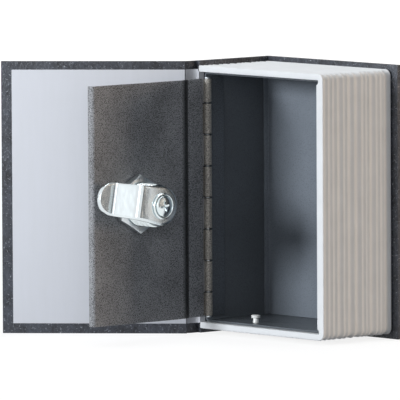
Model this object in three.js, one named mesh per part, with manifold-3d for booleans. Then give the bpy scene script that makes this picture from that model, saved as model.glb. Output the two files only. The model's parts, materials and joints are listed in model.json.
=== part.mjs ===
// Book diversion safe: a small cloth-bound book whose page block is a ribbed plastic frame
// round a folded steel box, with a sheet steel door on a piano hinge and a cam lock.
// Millimetres, +Z up. X runs from the spine to the fore-edge, Y from the front to the back.
// It stands on the tail edges of its covers, cover and door open.

import * as THREE from 'three';
import { mergeVertices } from 'three/addons/utils/BufferGeometryUtils.js';
import Module from 'manifold-3d';

const wasm = await Module();
wasm.setup();

// Pose of the parts that open
const COVER_OPEN_ANGLE = THREE.MathUtils.degToRad(136.2);
const DOOR_OPEN_ANGLE = THREE.MathUtils.degToRad(90);
const CAM_TILT_ANGLE = THREE.MathUtils.degToRad(10.3);

// Case: boards, their leatherette and the endpapers
const COVER_HEIGHT = 118;
const COVER_WIDTH = 79.9;
const BOARD_CORE = 1.4;
const LEATHERETTE = 0.35;
const GLUE_GAP = 0.12;
const ENDPAPER = 0.25;
const TURN_IN = 13;
const TURN_IN_SHOWN_HEAD = 3.6;
const TURN_IN_SHOWN_TAIL = 4.35;
const TURN_IN_SHOWN_FORE = 4.6;
const COVER_JOINT_WIDTH = 4.4;
const COVER_AXIS_AHEAD = 3.1;
const COVER_AXIS_INSET = 1.6;
const COVER_SEAT_GAP = 0.95;
const REAR_JOINT_INSET = 1.6;
const JOINT_SLACK = 0.6;
const SPINE_SEAT_GAP = 0.1;
const SPINE_SETBACK = 0.4;

// Page block: plastic frame open to the spine, ribbed like page edges
const BLOCK_WIDTH = 78.5;
const BLOCK_DEPTH = 40.1;
const TAIL_SQUARE = 1.9;
const HEAD_SQUARE = 2;
const BLOCK_WALL_ENDS = 2.8;
const BLOCK_WALL_FORE = 3;
const RIM_LIP = 1;
const RIM_LIP_DEPTH = 2.2;
const BLOCK_CORNER_RADIUS = 3;
const BLOCK_EDGE_ROUND = 0.9;
const RIB_HEIGHT = 0.55;
const RIB_CREST = 0.5;
// Crests of the ribs, from the front, as shares of the block's depth
const RIB_SHARES = [0.08, 0.145, 0.21, 0.3, 0.36, 0.46, 0.565, 0.625, 0.675, 0.775, 0.835, 0.895];

// Steel box
const BOX_SHEET = 0.8;
const BOX_SEAT_GAP = 0.15;
const BOX_SPINE_GAP = 0.3;
const BOX_FRONT_INSET = 3;
const BOX_BEND_RADIUS = 1.6;
const BOX_BACK_GAP = 0.6;
const BACK_FLANGE = 3;
const WELD_GAP = 0.1;

// Piano hinge
const HINGE_AXIS_INSET = 3.2;
const HINGE_AXIS_DEPTH = 2;
const HINGE_END_GAP = 2.85;
const KNUCKLE_PITCH = 13.65;
const KNUCKLE_RADIUS = 1.75;
const LEAF_SHEET = 0.8;
const LEAF_WIDTH = 10.4;
const KNUCKLE_END_GAP = 0.15;
const KNUCKLE_NOTCH_GAP = 0.6;
const CURL_ANGLE = THREE.MathUtils.degToRad(292);
const PIN_CLEARANCE = 0.15;
const PIN_HEAD_RADIUS = 1.3;
const PIN_HEAD_HEIGHT = 0.8;

// Door sheet
const DOOR_PAST_HINGE = 0.15;
const DOOR_WIDTH = 67.9;
const DOOR_SHEET = 1;
const DOOR_BEND_RADIUS = 1.4;
const DOOR_STEP_AT = 15.9;
const DOOR_STEP_RUN = 2.9;
const DOOR_STEP_RADIUS = 4;
const DOOR_PANEL_DEPTH = 2.2;
const DOOR_FLANGE = 2.1;
const DOOR_LIP_START = 2.9;
const LOOSE_GAP = 0.3;

// Cam lock
const LOCK_FROM_HINGE = 43.55;
const LOCK_HEAD_RADIUS = 11;
const LOCK_HEAD_HEIGHT = 2.6;
const LOCK_HEAD_BEVEL = 0.8;
const LOCK_BARREL_RADIUS = 9.3;
const LOCK_BARREL_LENGTH = 15.2;
const LOCK_BARREL_CHAMFER = 0.5;
const LOCK_BARREL_FLATS = 16;
const PLUG_RADIUS = 6;
const PLUG_COLLAR_RADIUS = 7.4;
const PLUG_COLLAR_HEIGHT = 1.1;
const PLUG_SQUARE = 7;
const KEYWAY_WIDTH = 2.2;
const KEYWAY_HEIGHT = 8.4;
const KEYWAY_DEPTH = 13.6;
const WAFER_COUNT = 5;
const WAFER_PITCH = 2.3;
const WAFER_SHEET = 0.6;
const WAFER_WIDTH = 5.6;
const WAFER_HEIGHT = 9.4;
const WAFER_WINDOW_WIDTH = 2.6;
const WAFER_WINDOW_HEIGHT = 6;
const WAFER_FIRST = 2.2;
const NUT_ACROSS_FLATS = 22;
const NUT_HEIGHT = 3.7;
const NUT_CHAMFER = 0.8;
const STOP_WASHER_SHEET = 0.9;
const STOP_WASHER_RADIUS = 7.9;
const STOP_NOTCH_RADIUS = 6.6;
const STOP_POST_WIDTH = 1.8;
// Turns of the cam, up from level, at which the stop washer meets its post
const CAM_SHUT_ANGLE = THREE.MathUtils.degToRad(-25);
const CAM_FREE_ANGLE = THREE.MathUtils.degToRad(65);

// Cam and what holds it
const CAM_SHEET = 2;
const CAM_HUB_RADIUS = 8.3;
const CAM_TIP_RADIUS = 7.1;
const CAM_LENGTH = 27;
const CAM_DROP = 10.2;
const CAM_HUB_FLAT = 12.6;
const CAM_TIP_FLAT = 8.8;
const CAM_BEND_RADIUS = 2;
const CUP_WASHER_RADIUS = 6;
const CUP_WASHER_HEIGHT = 1;
const SCREW_HEAD_RADIUS = 4.1;
const SCREW_HEAD_HEIGHT = 1.5;
const SCREW_SHANK_RADIUS = 2;
const SCREW_SHANK_LENGTH = 6;
const RECESS_WIDTH = 1;
const RECESS_LENGTH = 4.4;
const RECESS_DEPTH = 1;

// Strike behind the fore-edge wall
const STRIKE_REACH = 7.5;
const STRIKE_SHEET = 0.8;
const STRIKE_HEIGHT = 16;
const STRIKE_FOOT = 8;
const STRIKE_CLEARANCE = 0.5;
const STRIKE_BELOW_LOCK = 5.4;

// Push-in stud that holds the page block to the box
const STUD_INSET = 25.7;
const STUD_DEPTH = 9.2;
const STUD_RADIUS = 1.25;
const STUD_STANDS_UP = 2.4;
const STUD_HEAD_RADIUS = 2.7;
const STUD_HEAD_HEIGHT = 1;
const STUD_CAP_WALL = 0.55;
const STUD_CAP_HEIGHT = 1;
const STUD_CAP_SKIRT = 0.4;
const STUD_CLEARANCE = 0.3;

// How finely curves are cut up, and how far a cutting tool runs past what it cuts
const ROUND_STEPS = 32;
const SMALL_ROUND_STEPS = 20;
const BEND_STEPS = 4;
const CORNER_STEPS = 6;
const OVERRUN = 1;

// Levels and places worked out from the sizes above
const BLOCK_BOTTOM = TAIL_SQUARE;
const BLOCK_TOP = COVER_HEIGHT - HEAD_SQUARE;
const POCKET_RIGHT = BLOCK_WIDTH - BLOCK_WALL_FORE;
const RIM_RIGHT = POCKET_RIGHT - RIM_LIP;
const POCKET_BOTTOM = BLOCK_BOTTOM + BLOCK_WALL_ENDS;
const POCKET_TOP = BLOCK_TOP - BLOCK_WALL_ENDS;
const BOX_LEFT = BOX_SPINE_GAP;
const BOX_RIGHT = POCKET_RIGHT - BOX_SEAT_GAP;
const BOX_BOTTOM = POCKET_BOTTOM + BOX_SEAT_GAP;
const BOX_TOP = POCKET_TOP - BOX_SEAT_GAP;
const BOX_REAR = BLOCK_DEPTH - BOX_BACK_GAP;
const FLOOR_TOP = BOX_BOTTOM + BOX_SHEET;
const ROOF_UNDER = BOX_TOP - BOX_SHEET;
const MID_HEIGHT = (POCKET_BOTTOM + POCKET_TOP) / 2;
const HINGE_HEIGHT = POCKET_TOP - POCKET_BOTTOM - 2 * HINGE_END_GAP;
const DOOR_HEIGHT = HINGE_HEIGHT + 2 * DOOR_PAST_HINGE;
const BOARD_THICK = BOARD_CORE + 2 * (LEATHERETTE + GLUE_GAP);
const SPINE_INNER = -SPINE_SEAT_GAP;
const SPINE_OUTER = SPINE_INNER - BOARD_THICK;
const REAR_INNER = BLOCK_DEPTH + SPINE_SEAT_GAP + ENDPAPER + GLUE_GAP;
const REAR_OUTER = REAR_INNER + BOARD_THICK;
const REAR_LEFT = SPINE_OUTER + REAR_JOINT_INSET;
const REAR_RIGHT = SPINE_OUTER + COVER_JOINT_WIDTH + COVER_WIDTH;
const COVER_AXIS = new THREE.Vector2(SPINE_OUTER + COVER_AXIS_INSET, -COVER_AXIS_AHEAD);
const HINGE_AXIS = new THREE.Vector2(HINGE_AXIS_INSET, HINGE_AXIS_DEPTH);
const KNUCKLE_BORE = KNUCKLE_RADIUS - LEAF_SHEET;
const BARREL_END = DOOR_PANEL_DEPTH - DOOR_SHEET - LOOSE_GAP + LOCK_BARREL_LENGTH;
const STOP_WASHER_AT = BARREL_END + LOOSE_GAP;
const CAM_AT = STOP_WASHER_AT + STOP_WASHER_SHEET + LOOSE_GAP;
const CAM_TOP = CAM_AT + CAM_SHEET;

// Materials
function material(color, roughness, metalness) {
  return new THREE.MeshStandardMaterial({ color, roughness, metalness });
}
const LEATHERETTE_LOOK = material(0x3c3e44, 0.6, 0);
const BOARD_LOOK = material(0x8a8378, 0.9, 0);
const PAPER_LOOK = material(0xcfd2db, 0.85, 0);
const BLOCK_LOOK = material(0xe9e6dd, 0.5, 0);
const STEEL_LOOK = material(0x4a4d50, 0.55, 0.3);
const CHROME_LOOK = material(0xcfd6d8, 0.15, 1);
const ZINC_LOOK = material(0xb4b6b3, 0.35, 0.9);
const BRASS_LOOK = material(0xb59a58, 0.35, 0.9);
const CAP_LOOK = material(0xf2f2ee, 0.45, 0);

// Solids and booleans
function toSolid(geometry) {
  const bare = new THREE.BufferGeometry();
  bare.setAttribute('position', geometry.getAttribute('position').clone());
  bare.setIndex(geometry.getIndex());
  const merged = mergeVertices(bare, 1e-5);
  return new wasm.Manifold(new wasm.Mesh({
    numProp: 3,
    vertProperties: new Float32Array(merged.getAttribute('position').array),
    triVerts: new Uint32Array(merged.getIndex().array),
  }));
}

function toGeometry(solid) {
  const mesh = solid.getMesh();
  const geometry = new THREE.BufferGeometry();
  geometry.setAttribute('position', new THREE.BufferAttribute(mesh.vertProperties, 3));
  geometry.setIndex(new THREE.BufferAttribute(mesh.triVerts, 1));
  const flat = geometry.toNonIndexed();
  flat.computeVertexNormals();
  return flat;
}

function cut(geometry, ...tools) {
  return toGeometry(tools.reduce((solid, tool) => solid.subtract(toSolid(tool)), toSolid(geometry)));
}

function join(...geometries) {
  const [first, ...rest] = geometries.map(toSolid);
  return toGeometry(rest.reduce((solid, other) => solid.add(other), first));
}

function common(first, second) {
  return toGeometry(toSolid(first).intersect(toSolid(second)));
}

// A block between two corners
function block(x0, x1, y0, y1, z0, z1) {
  const geometry = new THREE.BoxGeometry(x1 - x0, y1 - y0, z1 - z0);
  return geometry.translate((x0 + x1) / 2, (y0 + y1) / 2, (z0 + z1) / 2);
}

// An outline in plan, as [x, y] points, raised from z0 to z1
function upright(points, z0, z1) {
  const shape = new THREE.Shape(points.map(([x, y]) => new THREE.Vector2(x, y)));
  const geometry = new THREE.ExtrudeGeometry(shape, { depth: z1 - z0, bevelEnabled: false });
  return geometry.translate(0, 0, z0);
}

// An outline seen from the front, as [x, z] points, run back from y0 to y1
function frontal(points, y0, y1) {
  const shape = new THREE.Shape(points.map(([x, z]) => new THREE.Vector2(x, z)));
  const geometry = new THREE.ExtrudeGeometry(shape, { depth: y1 - y0, bevelEnabled: false });
  return geometry.rotateX(Math.PI / 2).translate(0, y1, 0);
}

// A body of revolution about Y, from [radius, y] points
function turned(points, steps = ROUND_STEPS) {
  const profile = points.map(([r, y]) => new THREE.Vector2(r, y));
  return new THREE.LatheGeometry(profile, steps);
}

// A round rod along Y
function rod(radius, y0, y1, steps = ROUND_STEPS) {
  return turned([[0, y0], [radius, y0], [radius, y1], [0, y1]], steps);
}

function arc(cx, cy, radius, from, to, steps) {
  return Array.from({ length: steps + 1 }, (_, i) => {
    const angle = from + ((to - from) * i) / steps;
    return [cx + radius * Math.cos(angle), cy + radius * Math.sin(angle)];
  });
}

// A bent sheet in plan: its middle line is rounded at each inner corner, by one radius or a list
function bentSheet(corners, thick, radii) {
  const middle = [corners[0]];
  for (let i = 1; i < corners.length - 1; i += 1) {
    const here = new THREE.Vector2(...corners[i]);
    const before = new THREE.Vector2(...corners[i - 1]).sub(here);
    const after = new THREE.Vector2(...corners[i + 1]).sub(here);
    const turn = Math.abs(before.angleTo(after));
    const radius = Array.isArray(radii) ? radii[i - 1] : radii;
    const reach = Math.min(radius / Math.tan(turn / 2), before.length() / 2, after.length() / 2);
    const start = here.clone().addScaledVector(before.normalize(), reach);
    const end = here.clone().addScaledVector(after.normalize(), reach);
    const bend = new THREE.QuadraticBezierCurve(start, here, end);
    bend.getPoints(BEND_STEPS).forEach((p) => middle.push([p.x, p.y]));
  }
  middle.push(corners[corners.length - 1]);
  return thicken(middle, thick);
}

// Both sides of a middle line, as one closed outline
function thicken(middle, thick) {
  const sides = [[], []];
  middle.forEach(([x, y], i) => {
    const [x0, y0] = middle[Math.max(i - 1, 0)];
    const [x1, y1] = middle[Math.min(i + 1, middle.length - 1)];
    const length = Math.hypot(x1 - x0, y1 - y0);
    const nx = (-(y1 - y0) / length) * (thick / 2);
    const ny = ((x1 - x0) / length) * (thick / 2);
    sides[0].push([x - nx, y - ny]);
    sides[1].push([x + nx, y + ny]);
  });
  return [...sides[0], ...sides[1].reverse()];
}

// Page block

// Outline of the block seen from the front, with its head, fore-edge and tail moved out
function blockOutline(out) {
  const right = BLOCK_WIDTH + out;
  const low = BLOCK_BOTTOM - out;
  const high = BLOCK_TOP + out;
  const radius = BLOCK_CORNER_RADIUS + out;
  return [
    [0, low],
    ...arc(right - radius, low + radius, radius, -Math.PI / 2, 0, CORNER_STEPS),
    ...arc(right - radius, high - radius, radius, 0, Math.PI / 2, CORNER_STEPS),
    [0, high],
  ];
}

// How far the skin stands in from the rib crests, station by station from the front
function ribStations() {
  const stations = [
    [0, -BLOCK_EDGE_ROUND],
    [BLOCK_EDGE_ROUND / 3, -BLOCK_EDGE_ROUND / 3],
    [BLOCK_EDGE_ROUND, 0],
  ];
  let last = BLOCK_EDGE_ROUND;
  RIB_SHARES.forEach((share) => {
    const crest = share * BLOCK_DEPTH;
    const groove = (last + crest) / 2;
    stations.push([groove - RIB_CREST / 2, -RIB_HEIGHT], [groove + RIB_CREST / 2, -RIB_HEIGHT]);
    stations.push([crest - RIB_CREST / 2, 0], [crest + RIB_CREST / 2, 0]);
    last = crest;
  });
  const rearEdge = BLOCK_DEPTH - BLOCK_EDGE_ROUND;
  stations.push([(last + rearEdge) / 2, -RIB_HEIGHT], [rearEdge, 0], [BLOCK_DEPTH, -BLOCK_EDGE_ROUND]);
  return stations;
}

// Skin through one outline per station, closed by a face at each end
function skinThrough(sections) {
  const count = sections[0].points.length;
  const positions = [];
  sections.forEach(({ y, points }) => points.forEach(([x, z]) => positions.push(x, y, z)));
  const index = [];
  for (let s = 0; s < sections.length - 1; s += 1) {
    for (let i = 0; i < count; i += 1) {
      const a = s * count + i;
      const b = s * count + ((i + 1) % count);
      index.push(a, b + count, b, a, a + count, b + count);
    }
  }
  const far = (sections.length - 1) * count;
  for (let i = 1; i < count - 1; i += 1) {
    index.push(0, i, i + 1, far, far + i + 1, far + i);
  }
  const geometry = new THREE.BufferGeometry();
  geometry.setAttribute('position', new THREE.Float32BufferAttribute(positions, 3));
  geometry.setIndex(index);
  return geometry;
}

function pageBlock() {
  const sections = ribStations().map(([y, out]) => ({ y, points: blockOutline(out) }));
  const mouth = block(-OVERRUN, RIM_RIGHT, -OVERRUN, BLOCK_DEPTH / 2, POCKET_BOTTOM, POCKET_TOP);
  const rear = BLOCK_DEPTH + OVERRUN;
  const pocket = block(-OVERRUN, POCKET_RIGHT, RIM_LIP_DEPTH, rear, POCKET_BOTTOM, POCKET_TOP);
  return cut(skinThrough(sections), mouth, pocket, studHole());
}

// Hole for the stud, with a counterbore for its head
function studHole() {
  const shank = STUD_RADIUS + STUD_CLEARANCE;
  const head = STUD_HEAD_RADIUS + STUD_CLEARANCE;
  const sink = STUD_HEAD_HEIGHT + STUD_CLEARANCE;
  const through = rod(shank, -OVERRUN, FLOOR_TOP + OVERRUN, SMALL_ROUND_STEPS);
  const counterbore = rod(head, -OVERRUN, BLOCK_BOTTOM + sink, SMALL_ROUND_STEPS);
  return join(through, counterbore).rotateX(Math.PI / 2).translate(STUD_INSET, STUD_DEPTH, 0);
}

// Steel box

function roundedFrame(x0, x1, z0, z1, radius) {
  return [
    ...arc(x1 - radius, z0 + radius, radius, -Math.PI / 2, 0, BEND_STEPS),
    ...arc(x1 - radius, z1 - radius, radius, 0, Math.PI / 2, BEND_STEPS),
    ...arc(x0 + radius, z1 - radius, radius, Math.PI / 2, Math.PI, BEND_STEPS),
    ...arc(x0 + radius, z0 + radius, radius, Math.PI, Math.PI * 1.5, BEND_STEPS),
  ];
}

function boxWalls() {
  const outer = roundedFrame(BOX_LEFT, BOX_RIGHT, BOX_BOTTOM, BOX_TOP, BOX_BEND_RADIUS);
  const inner = roundedFrame(
    BOX_LEFT + BOX_SHEET,
    BOX_RIGHT - BOX_SHEET,
    FLOOR_TOP,
    ROOF_UNDER,
    BOX_BEND_RADIUS - BOX_SHEET,
  );
  const tube = frontal(outer, BOX_FRONT_INSET, BOX_REAR);
  const hollow = frontal(inner, BOX_FRONT_INSET - OVERRUN, BOX_REAR + OVERRUN);
  return cut(tube, hollow, studHole());
}

// Back plate with a flange turned forward along each side wall
function boxBack() {
  const left = BOX_LEFT + BOX_SHEET + WELD_GAP + BOX_SHEET / 2;
  const right = BOX_RIGHT - BOX_SHEET - WELD_GAP - BOX_SHEET / 2;
  const rear = BOX_REAR - BOX_SHEET / 2;
  const front = BOX_REAR - BACK_FLANGE;
  const plan = bentSheet([[left, front], [left, rear], [right, rear], [right, front]], BOX_SHEET, BOX_SHEET);
  const plate = upright(plan, FLOOR_TOP + WELD_GAP, ROOF_UNDER - WELD_GAP);
  const corner = BOX_BEND_RADIUS - BOX_SHEET;
  const frame = roundedFrame(
    BOX_LEFT + BOX_SHEET + WELD_GAP,
    BOX_RIGHT - BOX_SHEET - WELD_GAP,
    FLOOR_TOP + WELD_GAP,
    ROOF_UNDER - WELD_GAP,
    corner,
  );
  return common(plate, frontal(frame, BOX_FRONT_INSET, BOX_REAR + OVERRUN));
}

// Angle on the fore-edge wall that the cam turns down behind
function strike() {
  const wall = BOX_RIGHT - BOX_SHEET - WELD_GAP;
  const face = HINGE_AXIS_DEPTH + CAM_TOP - CAM_DROP - CAM_SHEET - STRIKE_CLEARANCE;
  const middle = STRIKE_SHEET / 2;
  const plan = bentSheet(
    [
      [wall - STRIKE_REACH, face - middle],
      [wall - middle, face - middle],
      [wall - middle, face + STRIKE_FOOT],
    ],
    STRIKE_SHEET,
    STRIKE_SHEET,
  );
  const top = MID_HEIGHT - STRIKE_BELOW_LOCK;
  return upright(plan, top - STRIKE_HEIGHT, top);
}

// Stud through the page block and the box, standing up inside
function stud() {
  const seat = STUD_CLEARANCE / 2;
  const neck = seat + STUD_HEAD_HEIGHT;
  const tip = FLOOR_TOP - BLOCK_BOTTOM + STUD_STANDS_UP;
  const profile = [[0, seat], [STUD_HEAD_RADIUS, seat], [STUD_HEAD_RADIUS, neck], [STUD_RADIUS, neck]];
  return turned([...profile, [STUD_RADIUS, tip], [0, tip]], SMALL_ROUND_STEPS).rotateX(Math.PI / 2);
}

// Push-on cap over the end of the stud
function studCap() {
  const tip = FLOOR_TOP - BLOCK_BOTTOM + STUD_STANDS_UP;
  const bore = STUD_RADIUS + BOX_SEAT_GAP;
  const outer = bore + STUD_CAP_WALL;
  const rise = tip + BOX_SEAT_GAP;
  const top = rise + STUD_CAP_HEIGHT - STUD_CAP_SKIRT / 2;
  const profile = [
    [0, rise],
    [bore, rise],
    [bore, tip - STUD_CAP_SKIRT],
    [outer, tip - STUD_CAP_SKIRT],
    [outer, top - STUD_CAP_SKIRT / 2],
    [bore, top],
    [0, top],
  ];
  return turned(profile, SMALL_ROUND_STEPS).rotateX(Math.PI / 2);
}

// Piano hinge, its pin axis at x = 0, y = 0 and its leaf running along +X

// Places where one knuckle ends and the next begins, from the top down
function knuckleEnds() {
  const top = HINGE_HEIGHT / 2;
  const ends = [top];
  const inner = Math.floor(top / KNUCKLE_PITCH);
  for (let k = inner; k >= -inner; k -= 1) {
    ends.push(k * KNUCKLE_PITCH);
  }
  ends.push(-top);
  return ends.map((z) => MID_HEIGHT + z);
}

// Rolled knuckle in plan: the leaf runs in under the pin and curls up and over it
function curlOutline() {
  const start = -Math.PI / 2;
  const end = start - CURL_ANGLE;
  return [
    [KNUCKLE_RADIUS + KNUCKLE_NOTCH_GAP * 2, -KNUCKLE_BORE],
    [KNUCKLE_RADIUS + KNUCKLE_NOTCH_GAP * 2, -KNUCKLE_RADIUS],
    ...arc(0, 0, KNUCKLE_RADIUS, start, end, SMALL_ROUND_STEPS),
    ...arc(0, 0, KNUCKLE_BORE, end, start, SMALL_ROUND_STEPS),
  ];
}

// One leaf, with the even or the odd knuckles rolled on it
function hingeLeaf(first) {
  const half = HINGE_HEIGHT / 2;
  const root = KNUCKLE_RADIUS + KNUCKLE_NOTCH_GAP;
  const plate = block(root, LEAF_WIDTH, -KNUCKLE_RADIUS, -KNUCKLE_BORE, MID_HEIGHT - half, MID_HEIGHT + half);
  const ends = knuckleEnds();
  const curls = [];
  for (let i = first; i < ends.length - 1; i += 2) {
    curls.push(upright(curlOutline(), ends[i + 1] + KNUCKLE_END_GAP, ends[i] - KNUCKLE_END_GAP));
  }
  return join(plate, ...curls);
}

function hingePin() {
  const radius = KNUCKLE_BORE - PIN_CLEARANCE;
  const end = HINGE_HEIGHT / 2;
  const tip = end + PIN_HEAD_HEIGHT;
  const profile = [
    [0, -tip],
    [PIN_HEAD_RADIUS * 0.6, -tip],
    [PIN_HEAD_RADIUS, -end - PIN_HEAD_HEIGHT / 2],
    [PIN_HEAD_RADIUS, -end],
    [radius, -end],
    [radius, end],
    [PIN_HEAD_RADIUS, end],
    [PIN_HEAD_RADIUS, end + PIN_HEAD_HEIGHT / 2],
    [PIN_HEAD_RADIUS * 0.6, tip],
    [0, tip],
  ];
  return turned(profile, SMALL_ROUND_STEPS).rotateX(Math.PI / 2);
}

// Door, shut, its hinge axis at x = 0, y = 0

function doorSheet() {
  const lip = -KNUCKLE_BORE + LOOSE_GAP + DOOR_SHEET / 2;
  const panel = DOOR_PANEL_DEPTH - DOOR_SHEET / 2;
  const edge = DOOR_WIDTH - DOOR_SHEET / 2;
  const corners = [
    [DOOR_LIP_START, lip],
    [DOOR_STEP_AT - DOOR_STEP_RUN, lip],
    [DOOR_STEP_AT, panel],
    [edge, panel],
    [edge, panel - DOOR_SHEET / 2 - DOOR_FLANGE],
  ];
  const bottom = MID_HEIGHT - DOOR_HEIGHT / 2;
  const plan = bentSheet(corners, DOOR_SHEET, [DOOR_STEP_RADIUS, DOOR_STEP_RADIUS, DOOR_BEND_RADIUS]);
  const sheet = upright(plan, bottom, bottom + DOOR_HEIGHT);
  const round = rod(LOCK_BARREL_RADIUS + LOOSE_GAP, -DOOR_PANEL_DEPTH, DOOR_PANEL_DEPTH + OVERRUN);
  const hole = flattened(round, LOOSE_GAP);
  return cut(sheet, hole.translate(LOCK_FROM_HINGE, 0, MID_HEIGHT));
}

// Cam lock, its axis along Y and its outer side towards -Y

// The two flats that stop a lock barrel from turning, grown by a clearance
function flattened(geometry, clearance) {
  const half = LOCK_BARREL_FLATS / 2 + clearance;
  const reach = LOCK_HEAD_RADIUS + OVERRUN;
  const length = LOCK_BARREL_LENGTH + LOCK_HEAD_HEIGHT + 2 * OVERRUN;
  return common(geometry, block(-half, half, -length, length, -reach, reach));
}

// Barrel with a chamfered end and the post that stops the washer
function lockBarrel(from) {
  const barrel = turned([
    [0, from],
    [LOCK_BARREL_RADIUS, from],
    [LOCK_BARREL_RADIUS, BARREL_END - LOCK_BARREL_CHAMFER],
    [LOCK_BARREL_RADIUS - LOCK_BARREL_CHAMFER, BARREL_END],
    [0, BARREL_END],
  ]);
  const half = STOP_POST_WIDTH / 2;
  const low = BARREL_END - LOCK_BARREL_CHAMFER;
  const inner = STOP_NOTCH_RADIUS + LOOSE_GAP;
  const post = block(-half, half, low, STOP_WASHER_AT + STOP_WASHER_SHEET, -STOP_WASHER_RADIUS, -inner);
  return join(flattened(barrel, 0), post);
}

function lockHousing() {
  const seat = DOOR_PANEL_DEPTH - DOOR_SHEET - LOOSE_GAP;
  const front = seat - LOCK_HEAD_HEIGHT;
  const head = turned([
    [0, front],
    [LOCK_HEAD_RADIUS - LOCK_HEAD_BEVEL, front],
    [LOCK_HEAD_RADIUS, front + LOCK_HEAD_BEVEL],
    [LOCK_HEAD_RADIUS, seat],
    [0, seat],
  ]);
  const bore = rod(PLUG_RADIUS + LOOSE_GAP, front - OVERRUN, BARREL_END + OVERRUN);
  const collar = PLUG_COLLAR_HEIGHT + LOOSE_GAP;
  const mouth = rod(PLUG_COLLAR_RADIUS + LOOSE_GAP, front - OVERRUN, front + collar);
  return cut(join(head, lockBarrel(seat - LOOSE_GAP)), bore, mouth);
}

function plugSlots() {
  const front = DOOR_PANEL_DEPTH - DOOR_SHEET - LOOSE_GAP - LOCK_HEAD_HEIGHT;
  const wide = WAFER_WIDTH / 2 + LOOSE_GAP;
  const tall = PLUG_RADIUS + OVERRUN;
  const slots = [];
  for (let i = 0; i < WAFER_COUNT; i += 1) {
    const at = front + WAFER_FIRST + i * WAFER_PITCH;
    slots.push(block(-wide, wide, at - LOOSE_GAP, at + WAFER_SHEET + LOOSE_GAP, -tall, tall));
  }
  return slots;
}

function lockPlug() {
  const front = DOOR_PANEL_DEPTH - DOOR_SHEET - LOOSE_GAP - LOCK_HEAD_HEIGHT;
  const body = turned([
    [0, front],
    [PLUG_COLLAR_RADIUS, front],
    [PLUG_COLLAR_RADIUS, front + PLUG_COLLAR_HEIGHT],
    [PLUG_RADIUS, front + PLUG_COLLAR_HEIGHT],
    [PLUG_RADIUS, STOP_WASHER_AT],
    [0, STOP_WASHER_AT],
  ]);
  const half = PLUG_SQUARE / 2;
  const square = block(-half, half, BARREL_END - OVERRUN, CAM_TOP - LOOSE_GAP, -half, half);
  const wide = KEYWAY_WIDTH / 2;
  const tall = KEYWAY_HEIGHT / 2;
  const keyway = block(-wide, wide, front - OVERRUN, front + KEYWAY_DEPTH, -tall, tall);
  const tapped = CAM_TOP - SCREW_SHANK_LENGTH - LOOSE_GAP;
  const bore = rod(SCREW_SHANK_RADIUS + LOOSE_GAP, tapped, CAM_TOP + OVERRUN);
  return cut(join(body, square), keyway, bore, ...plugSlots());
}

// One wafer of the row in the plug
function lockWafer(index) {
  const front = DOOR_PANEL_DEPTH - DOOR_SHEET - LOOSE_GAP - LOCK_HEAD_HEIGHT;
  const low = front + WAFER_FIRST + index * WAFER_PITCH;
  const high = low + WAFER_SHEET;
  const wide = WAFER_WIDTH / 2;
  const tall = WAFER_HEIGHT / 2;
  const plate = block(-wide, wide, low, high, -tall, tall);
  const windowWide = WAFER_WINDOW_WIDTH / 2;
  const windowTall = WAFER_WINDOW_HEIGHT / 2;
  return cut(plate, block(-windowWide, windowWide, low - OVERRUN, high + OVERRUN, -windowTall, windowTall));
}

function hexOutline(acrossFlats) {
  return arc(0, 0, acrossFlats / Math.sqrt(3), Math.PI / 2, Math.PI * 2.5, 6).slice(0, 6);
}

function lockNut() {
  const low = DOOR_PANEL_DEPTH + LOOSE_GAP;
  const high = low + NUT_HEIGHT;
  const corner = NUT_ACROSS_FLATS / Math.sqrt(3);
  const flat = NUT_ACROSS_FLATS / 2;
  const rounded = turned([
    [0, low],
    [flat, low],
    [corner, low + NUT_CHAMFER],
    [corner, high - NUT_CHAMFER],
    [flat, high],
    [0, high],
  ]);
  const hole = rod(LOCK_BARREL_RADIUS + LOOSE_GAP, low - OVERRUN, high + OVERRUN);
  return cut(common(frontal(hexOutline(NUT_ACROSS_FLATS), low, high), rounded), hole);
}

// Square hole that fits the plug's square end
function squareHole(y0, y1) {
  const half = PLUG_SQUARE / 2 + LOOSE_GAP / 2;
  return block(-half, half, y0 - OVERRUN, y1 + OVERRUN, -half, half);
}

// Disc with a notch that lets it turn as far as the post below the plug
function stopWasher() {
  const end = STOP_WASHER_AT + STOP_WASHER_SHEET;
  const margin = Math.asin((STOP_POST_WIDTH / 2 + LOOSE_GAP) / STOP_NOTCH_RADIUS);
  const from = -Math.PI / 2 - CAM_FREE_ANGLE - margin;
  const to = -Math.PI / 2 - CAM_SHUT_ANGLE + margin;
  const sector = [[0, 0], ...arc(0, 0, STOP_WASHER_RADIUS + OVERRUN, from, to, 2 * CORNER_STEPS)];
  const notched = cut(
    rod(STOP_WASHER_RADIUS, STOP_WASHER_AT, end),
    frontal(sector, STOP_WASHER_AT - OVERRUN, end + OVERRUN),
  );
  return cut(join(notched, rod(STOP_NOTCH_RADIUS, STOP_WASHER_AT, end)), squareHole(STOP_WASHER_AT, end));
}

// Cranked cam: its outline from the front, cut from a bent sheet
function camPlate() {
  const tip = CAM_LENGTH - CAM_TIP_RADIUS;
  const outline = [
    ...arc(tip, 0, CAM_TIP_RADIUS, -Math.PI / 2, Math.PI / 2, 3 * CORNER_STEPS),
    ...arc(0, 0, CAM_HUB_RADIUS, Math.PI / 2, Math.PI * 1.5, 3 * CORNER_STEPS),
  ];
  const high = CAM_AT + CAM_SHEET / 2;
  const low = high - CAM_DROP;
  const crank = [
    [-CAM_HUB_RADIUS - OVERRUN, high],
    [CAM_HUB_FLAT, high],
    [CAM_LENGTH - CAM_TIP_FLAT, low],
    [CAM_LENGTH + OVERRUN, low],
  ];
  const reach = CAM_HUB_RADIUS + OVERRUN;
  const sheet = upright(bentSheet(crank, CAM_SHEET, CAM_BEND_RADIUS), -reach, reach);
  const blank = frontal(outline, low - CAM_SHEET, CAM_TOP + OVERRUN);
  return cut(common(sheet, blank), squareHole(CAM_AT, CAM_TOP));
}

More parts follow.
